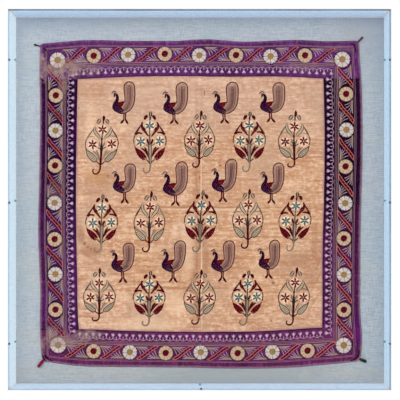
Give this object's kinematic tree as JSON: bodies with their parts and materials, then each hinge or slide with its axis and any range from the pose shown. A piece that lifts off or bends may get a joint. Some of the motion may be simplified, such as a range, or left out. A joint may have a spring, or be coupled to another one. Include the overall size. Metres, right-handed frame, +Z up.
{
  "type": "framed embroidered panel",
  "caption": "Bordered silk square with chain-stitch peacocks and flowering plants, mounted on a linen board in a clear box frame.",
  "frame": {"origin": "centre of the flat back face that goes against the wall", "axes": "+Z up, -Y out of the front of the case, +Y into the wall, +X to the right seen from the front"},
  "size_m": [0.9042, 0.0635, 0.8971],
  "materials": {
    "clear_sheet": "polished clear acrylic sheet",
    "clear_wall": "polished clear acrylic, pale blue at its edges",
    "linen": "plain-weave linen with slubs, blue-grey",
    "silk_field": "aged peach silk satin, stained and creased",
    "silk_border_level": "faded purple silk with chain-stitch border",
    "silk_border_upright": "dark purple silk with chain-stitch border",
    "screw_steel": "dark domed screw",
    "thread_brown": "twisted dark silk cord",
    "thread_crimson": "crimson silk tassel",
    "thread_olive": "dark olive silk knot"
  },
  "bodies": {
    "root": {"case_front": "clear_sheet", "case_top": "clear_wall", "case_bottom": "clear_wall", "case_left": "clear_wall", "case_right": "clear_wall", "mounting_board": "linen", "silk_field": "silk_field", "border_top": "silk_border_level", "border_bottom": "silk_border_level", "border_left": "silk_border_upright", "border_right": "silk_border_upright", "tie_top_left": "thread_brown", "tie_top_right": "thread_brown", "tassel_bottom_left": "thread_crimson", "tie_bottom_right": "thread_olive", "screw_left_1": "screw_steel", "screw_left_2": "screw_steel", "screw_left_3": "screw_steel", "screw_right_1": "screw_steel", "screw_right_2": "screw_steel", "screw_right_3": "screw_steel", "screw_bottom": "screw_steel"}
  },
  "joints": []
}
